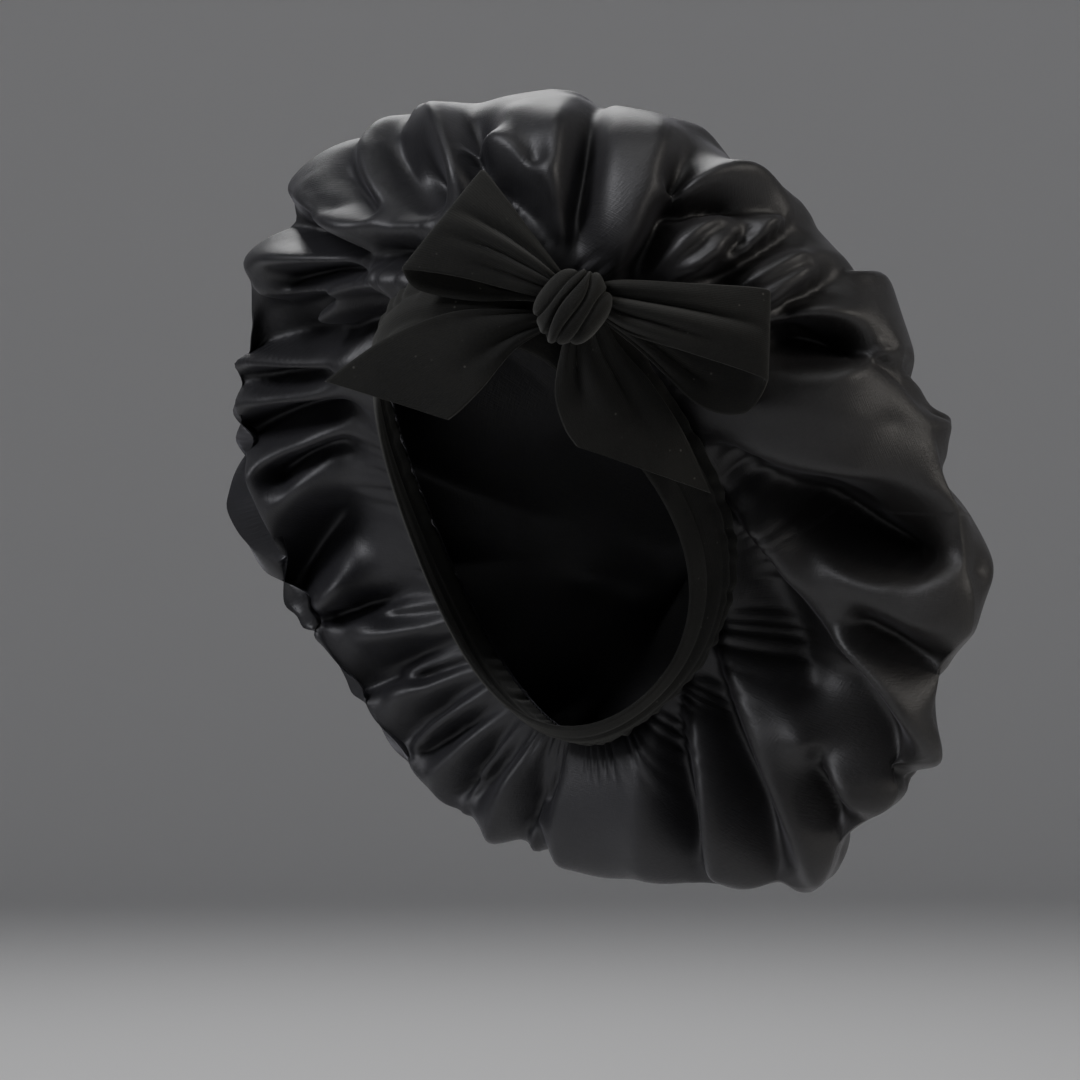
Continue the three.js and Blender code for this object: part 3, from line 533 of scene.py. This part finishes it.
def jersey_material():
    m, nt, bs = nodes_of("jersey")
    L = nt.links.new
    tc = nt.nodes.new("ShaderNodeTexCoord")
    big = node(nt, "ShaderNodeTexNoise", Scale=18.0, Detail=4.0, Roughness=0.6)
    L(tc.outputs["Object"], big.inputs["Vector"])
    fine = node(nt, "ShaderNodeTexNoise", Scale=900.0, Detail=2.0, Roughness=0.7)
    L(tc.outputs["Object"], fine.inputs["Vector"])
    mixf = node(nt, "ShaderNodeMath", operation="MULTIPLY_ADD")
    L(fine.outputs["Fac"], mixf.inputs[0])
    mixf.inputs[1].default_value = 0.65
    L(big.outputs["Fac"], mixf.inputs[2])
    base = ramp(nt, mixf.outputs[0], [(0.55, (0.0050, 0.0051, 0.0045)), (1.05, (0.0150, 0.0150, 0.0134))])
    # specks of lint caught in the brushed face
    vo = node(nt, "ShaderNodeTexVoronoi", Scale=260.0, Randomness=1.0)
    L(tc.outputs["Object"], vo.inputs["Vector"])
    near = ramp(nt, vo.outputs["Distance"], [(0.10, (1, 1, 1)), (0.20, (0, 0, 0))])
    sep = nt.nodes.new("ShaderNodeSeparateColor")
    L(vo.outputs["Color"], sep.inputs[0])
    few = node(nt, "ShaderNodeMath", operation="GREATER_THAN")
    few.inputs[1].default_value = 0.86
    L(sep.outputs[0], few.inputs[0])
    speck = node(nt, "ShaderNodeMath", operation="MULTIPLY")
    L(near.outputs["Color"], speck.inputs[0])
    L(few.outputs[0], speck.inputs[1])
    half = node(nt, "ShaderNodeMath", operation="MULTIPLY")
    L(speck.outputs[0], half.inputs[0])
    L(sep.outputs[1], half.inputs[1])
    mix = node(nt, "ShaderNodeMix", data_type="RGBA")
    L(half.outputs[0], mix.inputs["Factor"])
    L(base.outputs["Color"], mix.inputs["A"])
    mix.inputs["B"].default_value = (0.075, 0.073, 0.066, 1)
    L(mix.outputs["Result"], bs.inputs["Base Color"])
    rough = node(nt, "ShaderNodeMapRange")
    rough.inputs["To Min"].default_value = 0.82
    rough.inputs["To Max"].default_value = 0.98
    L(big.outputs["Fac"], rough.inputs["Value"])
    L(rough.outputs["Result"], bs.inputs["Roughness"])
    bs.inputs["Specular IOR Level"].default_value = 0.25
    bs.inputs["Sheen Weight"].default_value = 0.20
    bs.inputs["Sheen Roughness"].default_value = 0.55
    bs.inputs["Sheen Tint"].default_value = (0.62, 0.62, 0.58, 1)
    # knit ribs: fine wales with a grain across them
    uv = nt.nodes.new("ShaderNodeUVMap")
    uv.uv_map = "UVMap"
    wv = node(nt, "ShaderNodeTexWave", Scale=1.0, Distortion=1.2, Detail=1.0)
    wv.inputs["Detail Scale"].default_value = 2.0
    wv.bands_direction = "Y"
    mp = node(nt, "ShaderNodeMapping")
    mp.inputs["Scale"].default_value = (300.0, 300.0, 1.0)
    L(uv.outputs["UV"], mp.inputs["Vector"])
    L(mp.outputs["Vector"], wv.inputs["Vector"])
    b1 = node(nt, "ShaderNodeBump", Strength=0.35, Distance=0.0004)
    L(fine.outputs["Fac"], b1.inputs["Height"])
    b2 = node(nt, "ShaderNodeBump", Strength=0.25, Distance=0.0003)
    L(wv.outputs["Fac"], b2.inputs["Height"])
    L(b1.outputs["Normal"], b2.inputs["Normal"])
    b3 = node(nt, "ShaderNodeBump", Strength=0.15, Distance=0.002)
    L(big.outputs["Fac"], b3.inputs["Height"])
    L(b2.outputs["Normal"], b3.inputs["Normal"])
    L(b3.outputs["Normal"], bs.inputs["Normal"])
    return m


SATIN = satin_material()
JERSEY = jersey_material()

# ---------------------------------------------------------------- crown
ROUND = 560
back = np.concatenate([
    np.linspace(0.0, 0.12, 40, endpoint=False), np.linspace(0.12, 0.45, 74, endpoint=False),
    np.linspace(0.45, 0.80, 40, endpoint=False), np.linspace(0.80, 0.985, 16),
])
ang = np.arange(ROUND) * 360.0 / ROUND
T, V = np.meshgrid(ang, back, indexing="ij")
P, N = bag_points(T, V)
# the gathered edge runs in under the band before the seam
k, f = satin_edge(ang), face_edge(ang)
inward = (f - k) / np.linalg.norm(f - k, axis=-1, keepdims=True)
bn = np.cross(k - f, face_edge(ang + 1) - face_edge(ang - 1))
bn /= np.linalg.norm(bn, axis=-1, keepdims=True)
ruffle = (0.9 * np.cos(np.arange(ROUND) * np.pi / 1.5))[:, None]  # the cut edge, drawn up by the gathers
tuck = [k + inward * (7 + ruffle) - bn * (1.6 + ruffle), k + inward * 3 - bn * 1.2]
P = np.concatenate([np.stack(tuck, 1), P], 1)
m = P.shape[1]
faces = grid_faces(ROUND, m, True)
uvs = np.stack([np.repeat(ang / 360.0 * 1.3, m), np.tile(np.concatenate([[-0.02, -0.01], back]) * 0.72, ROUND)], -1)
pole = plain_bag(np.array([0.0]), np.array([1.0]))
P = np.concatenate([P.reshape(-1, 3), pole])
crown = new_mesh("satin_bag", P, faces, np.concatenate([uvs, [[0.6, 0.72]]]))
# close the rear with a fan
import bmesh
bm = bmesh.new()
bm.from_mesh(crown.data)
bm.verts.ensure_lookup_table()
layer = bm.loops.layers.uv.active
c = bm.verts[len(P) - 1]
for i in range(ROUND):
    a, b = bm.verts[i * m + m - 1], bm.verts[((i + 1) % ROUND) * m + m - 1]
    fc = bm.faces.new((a, b, c))
    fc.smooth = True
    for lp in fc.loops:
        lp[layer].uv = (0.6, 0.71)
bmesh.ops.recalc_face_normals(bm, faces=bm.faces)
bm.to_mesh(crown.data)
bm.free()
crown.data.materials.append(SATIN)

# ---------------------------------------------------------------- band
NB, MB = 420, 26
tb = np.arange(NB) * 360.0 / NB
w = np.linspace(0, 1, MB)
TB, W = np.meshgrid(tb, w, indexing="ij")
f, k = face_edge(TB), satin_edge(TB)
out = np.cross(k - f, face_edge(TB + 1) - face_edge(TB - 1))
out /= np.linalg.norm(out, axis=-1, keepdims=True)
g = np.random.default_rng(3)
relief = 3.0 * np.sin(np.pi * W)
for w0, w1, h, wd, t0, reach in [
    (0.35, 0.30, -1.5, 0.05, 345, 75), (0.62, 0.70, 1.3, 0.07, 340, 60), (0.48, 0.55, 0.9, 0.05, 10, 60), (0.8, 0.74, -1.0, 0.05, 355, 70),
    (0.3, 0.42, -1.2, 0.06, 130, 50), (0.55, 0.62, 1.4, 0.07, 140, 55), (0.75, 0.66, -1.2, 0.05, 125, 45), (0.4, 0.5, 1.0, 0.06, 95, 40),
    (0.5, 0.44, -0.9, 0.06, 200, 60), (0.35, 0.42, 0.8, 0.06, 250, 60), (0.65, 0.6, -0.8, 0.06, 285, 50),
]:
    d = wrap(TB - t0)
    wc = w0 + (w1 - w0) * (0.5 + d / (2 * reach))
    relief += h * np.exp(-(((W - wc) / wd) ** 2)) * np.exp(-((d / reach) ** 4))
for n_, a_, p_ in [(57, 0.55, 0.3), (83, 0.4, 1.1), (38, 0.5, 2.0)]:  # puckers along the seam with the gathers
    relief += a_ * np.cos(np.radians(n_ * TB) + p_ + 2 * np.sin(np.radians(3 * TB))) * sm(0.45, 1.0, W)
grid = f + (k - f) * W[..., None] + out * (relief + 0.6)[..., None]
band = thick("jersey_band", grid, 1.25, True, (0.62, 0.05))
band.data.materials.append(JERSEY)

# ---------------------------------------------------------------- bow
yaw = math.radians(BOW_YAW)
EA, EZ, EO = np.array([math.cos(yaw), math.sin(yaw), 0]), np.array([0, 0, 1.0]), np.array([math.sin(yaw), -math.cos(yaw), 0])


def bow_space(p):
    return KNOT + p[..., 0:1] * EA + p[..., 1:2] * EZ + p[..., 2:3] * EO


def catmull(rows, n):
    """centripetal-like smooth curve through rows, n samples, even in row number"""
    r = np.array(rows, float)
    s = np.linspace(0, len(r) - 1, n)
    i = np.clip(np.floor(s).astype(int), 0, len(r) - 2)
    f = (s - i)[:, None]
    p0, p1, p2, p3 = r[np.clip(i - 1, 0, None)], r[i], r[i + 1], r[np.clip(i + 2, None, len(r) - 1)]
    return 0.5 * (2 * p1 + (p2 - p0) * f + (2 * p0 - 5 * p1 + 4 * p2 - p3) * f**2 + (3 * p1 - p0 - 3 * p2 + p3) * f**3)


# a_up, z_up, out_up, a_low, z_low, out_low, puff: sections from the knot outwards and back
LOOP_LEFT = [
    (-5, 12, 1, -9, 1, 1, 1), (-16, 27, 4, -25, 4, 4, 2), (-29, 45, 3, -54, 11.5, 5, 4),
    (-42, 62.5, -4, -80, 15.5, 2, 4), (-44, 64, -10, -82.5, 14, -3, 2), (-41, 58, -16, -75, 6, -7, -3),
    (-26, 36, -15, -50, 1, -5, -3), (-12, 16, -8, -28, 1, -4.5, -1), (-4, 7, -5, -10, 0, -4, 0),
]
TAIL_LEFT = [
    (-12, -4, -10.5, -12, -12, -10.5, 0), (-30, -3, -6.5, -29, -23, -4.5, 1), (-60, -4.5, -6, -44, -41, -3, 2.5),
    (-92, -17, -12, -55, -52, -8, 2.5), (-122, -37.5, -22, -61, -56.5, -12, 1),
]
LOOP_RIGHT = [
    (8, 8, 0, 9, -3, 0, 1), (24, 10.5, 4, 25, -15, 2, 2), (58, 9, 1, 54, -24, 0, 4),
    (90, 7.5, -8, 88, -35, -9, 4), (94.5, 5, -14, 93, -40, -16, 2), (90, 2, -21, 83, -53, -24, -3),
    (58, 1, -19, 61, -49, -27, -3), (28, 2, -13, 33, -23, -19, -1), (8, 3, -5, 8, -4, -6, 0),
]
TAIL_RIGHT = [
    (13, -5, -9, -2, -10, -9, 0), (22, -20, -20, -7, -25, -12, 2), (38, -38, -30, -9.5, -44, -16, 3),
    (54, -62, -40, -5, -60, -20, 3), (68, -92, -50, 1, -69, -24, 2),
]
# w at the knot, w at the far end, height, width in w, reach (share of the way), per strip
PLEATS = {
    "loop_left": [(0.08, 0.26, 2.2, 0.08, 0.9), (0.20, 0.46, -4.6, 0.045, 0.95), (0.30, 0.56, 4.2, 0.075, 0.95), (0.44, 0.66, -4.6, 0.05, 0.80), (0.56, 0.76, 3.4, 0.07, 0.75), (0.70, 0.84, -3.0, 0.05, 0.6), (0.86, 0.92, 1.8, 0.07, 0.6)],
    "tail_left": [(0.3, 0.35, 2.0, 0.12, 0.7), (0.6, 0.7, -1.8, 0.10, 0.8), (0.15, 0.1, -1.6, 0.06, 0.7), (0.8, 0.85, 1.2, 0.08, 0.6)],
    "loop_right": [(0.12, 0.14, 2.6, 0.09, 0.8), (0.28, 0.50, -5.2, 0.05, 0.9), (0.42, 0.70, 4.0, 0.08, 0.85), (0.58, 0.84, -5.4, 0.055, 0.65), (0.74, 0.92, 3.4, 0.08, 0.6), (0.90, 0.97, -2.0, 0.05, 0.5)],
    "tail_right": [(0.12, 0.16, 3.4, 0.09, 0.85), (0.32, 0.34, -5.4, 0.055, 0.85), (0.50, 0.55, 4.0, 0.10, 0.85), (0.72, 0.76, -4.6, 0.07, 0.75), (0.90, 0.93, 2.6, 0.07, 0.6)],
}


def strip(name, rows, length, loop):
    n, mm = (200, 54) if loop else (110, 54)
    r = catmull(rows, n)
    w = np.linspace(0, 1, mm)[None, :, None]
    up, low = r[:, None, 0:3], r[:, None, 3:6]
    q = up * (1 - w) + low * w
    s = np.linspace(0, 1, n)
    wv = w[0, :, 0]
    way = 1 - np.abs(1 - 2 * s) if loop else s  # 0 at the knot, 1 at the far end
    sign = np.where(s < 0.5, 1.0, -1.0) if loop else np.ones(n)
    h = r[:, 6:7] * np.sin(np.pi * wv)[None, :]
    for w0, w1, a, wd, reach in PLEATS[name]:
        wc = w0 + (w1 - w0) * way
        fade = (1 - sm(0.35 * reach, reach, way)) * (0.45 + 0.55 * sm(0.0, 0.12, way))
        width = wd * (0.75 + 0.9 * way)
        h = h + (a * fade)[:, None] * np.exp(-(((wv[None, :] - wc[:, None]) / width[:, None]) ** 2))
    g = np.random.default_rng(len(name) * 7 + len(rows))
    for _ in range(7):  # slight unevenness of the soft cloth
        c1, c2, a = g.uniform(0.1, 1), g.uniform(0, 1), g.uniform(-0.7, 0.7)
        h = h + a * np.exp(-(((s[:, None] - c1) / 0.13) ** 2) - (((wv[None, :] - c2) / 0.22) ** 2))
    q[..., 2] += h
    grid = bow_space(q)
    o = thick("jersey_" + name, grid, 1.0, False, (length, 0.05), round_over=1.3, end_round="1" if not loop else None)
    o.data.materials.append(JERSEY)
    return o


loop_left = strip("loop_left", LOOP_LEFT, 0.19, True)
loop_right = strip("loop_right", LOOP_RIGHT, 0.20, True)
tail_left = strip("tail_left", TAIL_LEFT, 0.12, False)
tail_right = strip("tail_right", TAIL_RIGHT, 0.12, False)

# knot: a wad wrapped by the tie, its pleats slanting down to the wearer's right
NA, NE = 180, 90
A, E = np.meshgrid(np.arange(NA) * 2 * np.pi / NA, np.linspace(0.0, np.pi, NE + 1)[1:-1], indexing="ij")
ux, uy, uz = np.sin(E) * np.cos(A), np.sin(E) * np.sin(A), np.cos(E)


# crease: place across the wraps, width and depth, and how it bends along them
KNOT_CREASES = [(-0.58, 0.07, 0.13, 0.10), (-0.20, 0.06, 0.19, -0.14), (0.14, 0.065, 0.17, -0.24), (0.60, 0.06, 0.11, -0.05)]


def knot_shape(ux, uy, uz):
    # e1 runs along the wraps, down to the wearer's right, and e2 across them
    phi = math.radians(50)
    e1, e2 = np.array([math.cos(phi), math.sin(phi)]), np.array([-math.sin(phi), math.cos(phi)])
    p1, p2 = ux * e1[0] + uy * e1[1], ux * e2[0] + uy * e2[1]
    x = np.sign(p1) * np.abs(p1) ** 0.85
    y = np.sign(p2) * np.abs(p2) ** 0.85
    z = np.sign(uz) * np.abs(uz) ** 0.8
    q = -p2
    depth = np.zeros_like(q)
    for c_, wdt, dp, bend in KNOT_CREASES:
        d = (q - c_ - bend * p1 - 0.07 * np.sin(3 * p1 + 5 * c_)) / wdt
        depth += dp * np.exp(-np.abs(d) ** 1.15)
    puff = 0.05 * np.cos(6.5 * q + 0.8 * p1) + 0.04 * q
    r = 1 + puff - depth * sm(-0.6, 0.1, uz)
    a1, a2, a3 = 20.0, 16.0, 14.0
    P1, P2, P3 = x * a1 * r, y * a2 * r, z * a3 * r
    P3 = np.where(P3 < 0, P3 * 0.75, P3)
    a = P1 * e1[0] + P2 * e2[0] - 1.5
    b = P1 * e1[1] + P2 * e2[1] - 2.0
    return np.stack([a, b, P3 + 6.5], -1)


K = knot_shape(ux, uy, uz).reshape(-1, 3)
kf = grid_faces(NA, NE - 1, True)
top = knot_shape(np.array([0.0]), np.array([0.0]), np.array([1.0]))
bot = knot_shape(np.array([0.0]), np.array([0.0]), np.array([-1.0]))
KP = bow_space(np.concatenate([K, top, bot]))
uvk = np.concatenate([np.stack([(A / 6.28 * 0.1).ravel(), (E / 3.14 * 0.05).ravel()], -1), [[0.05, 0.0], [0.05, 0.05]]])
knot = new_mesh("jersey_knot", KP, kf, uvk)
bm = bmesh.new()
bm.from_mesh(knot.data)
bm.verts.ensure_lookup_table()
nk = len(K)
for i in range(NA):
    i1 = (i + 1) % NA
    for tri in ((i * (NE - 1), i1 * (NE - 1), nk), (i1 * (NE - 1) + NE - 2, i * (NE - 1) + NE - 2, nk + 1)):
        fc = bm.faces.new([bm.verts[j] for j in tri])
        fc.smooth = True
bmesh.ops.recalc_face_normals(bm, faces=bm.faces)
bm.to_mesh(knot.data)
bm.free()
knot.data.materials.append(JERSEY)

# ---------------------------------------------------------------- each piece on the root body, its CAD part hidden
for piece, cad, slot in [
    (crown, "crown", "satin"), (band, "band", "jersey"), (knot, "knot", "jersey"),
    (loop_left, "loop_left", "jersey"), (loop_right, "loop_right", "jersey"),
    (tail_left, "tail_left", "jersey"), (tail_right, "tail_right", "jersey"),
]:
    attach(piece, "root")
    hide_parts(cad)

# ---------------------------------------------------------------- stage
R, H = 5.0, 4.5
prof = [(0.0, 0.0), (R - 1.6, 0.0)]
for i in range(1, 17):
    a = i / 16 * math.pi / 2
    prof.append((R - 1.6 + 1.6 * math.sin(a), 1.6 - 1.6 * math.cos(a)))
prof.append((R, H))
seg = 96
vs, fs = [], []
for i in range(seg):
    c_, s_ = math.cos(2 * math.pi * i / seg), math.sin(2 * math.pi * i / seg)
    vs += [(r * c_, r * s_, z) for r, z in prof[1:]]
vs.append((0, 0, 0))
q = len(prof) - 1
for i in range(seg):
    j = (i + 1) % seg
    fs += [(i * q + a, j * q + a, j * q + a + 1, i * q + a + 1) for a in range(q - 1)]
    fs.append((len(vs) - 1, j * q, i * q))
me = bpy.data.meshes.new("studio_floor")
me.from_pydata(vs, [], fs)
me.polygons.foreach_set("use_smooth", np.ones(len(me.polygons), bool))
floor = bpy.data.objects.new("studio_floor", me)
floor.location = (0, 0, -0.45)
bpy.context.scene.collection.objects.link(floor)
fm, fnt, fbs = nodes_of("pale_floor")
fbs.inputs["Base Color"].default_value = (0.72, 0.72, 0.725, 1)
fbs.inputs["Roughness"].default_value = 0.9
me.materials.append(fm)


def area_light(name, az, el, dist, size, watts, colour=(1, 1, 1), size_y=None):
    a, e = math.radians(az), math.radians(el)
    pos = Vector((math.sin(a) * math.cos(e), -math.cos(a) * math.cos(e), math.sin(e))) * dist
    d = bpy.data.lights.new(name, "AREA")
    d.shape = "RECTANGLE"
    d.size, d.size_y = size, size_y or size
    d.energy = watts
    d.color = colour
    o = bpy.data.objects.new(name, d)
    o.location = pos
    o.rotation_euler = (-pos).to_track_quat("-Z", "Y").to_euler()
    o.visible_camera = False
    bpy.context.scene.collection.objects.link(o)
    return o


area_light("key", 335, 38, 2.3, 0.55, 28, (0.95, 0.95, 1.0), 0.9)
area_light("side", 100, 25, 2.3, 0.6, 14, (1.0, 0.95, 0.89), 1.1)
area_light("top", 30, 78, 2.2, 0.8, 6, (1, 1, 1), 0.7)
area_light("rim", 215, 35, 2.4, 0.8, 16, (1, 1, 1), 1.0)
world = bpy.data.worlds.new("studio")
world.use_nodes = True
world.node_tree.nodes["Background"].inputs[0].default_value = (0.9, 0.92, 0.95, 1)
world.node_tree.nodes["Background"].inputs[1].default_value = 0.11
bpy.context.scene.world = world

# ---------------------------------------------------------------- camera
aim = Vector((0.018 * math.cos(yaw), 0.018 * math.sin(yaw), 0.0))
cam_data = bpy.data.cameras.new("camera")
cam_data.sensor_width = 36
cam_data.lens = 36 * 2.2 / 0.54
cam_data.clip_end = 50
cam = bpy.data.objects.new("camera", cam_data)
cam.location = aim + Vector((math.sin(yaw), -math.cos(yaw), 0.0)) * 2.2
cam.rotation_euler = (aim - cam.location).to_track_quat("-Z", "Y").to_euler()
bpy.context.scene.collection.objects.link(cam)
bpy.context.scene.camera = cam
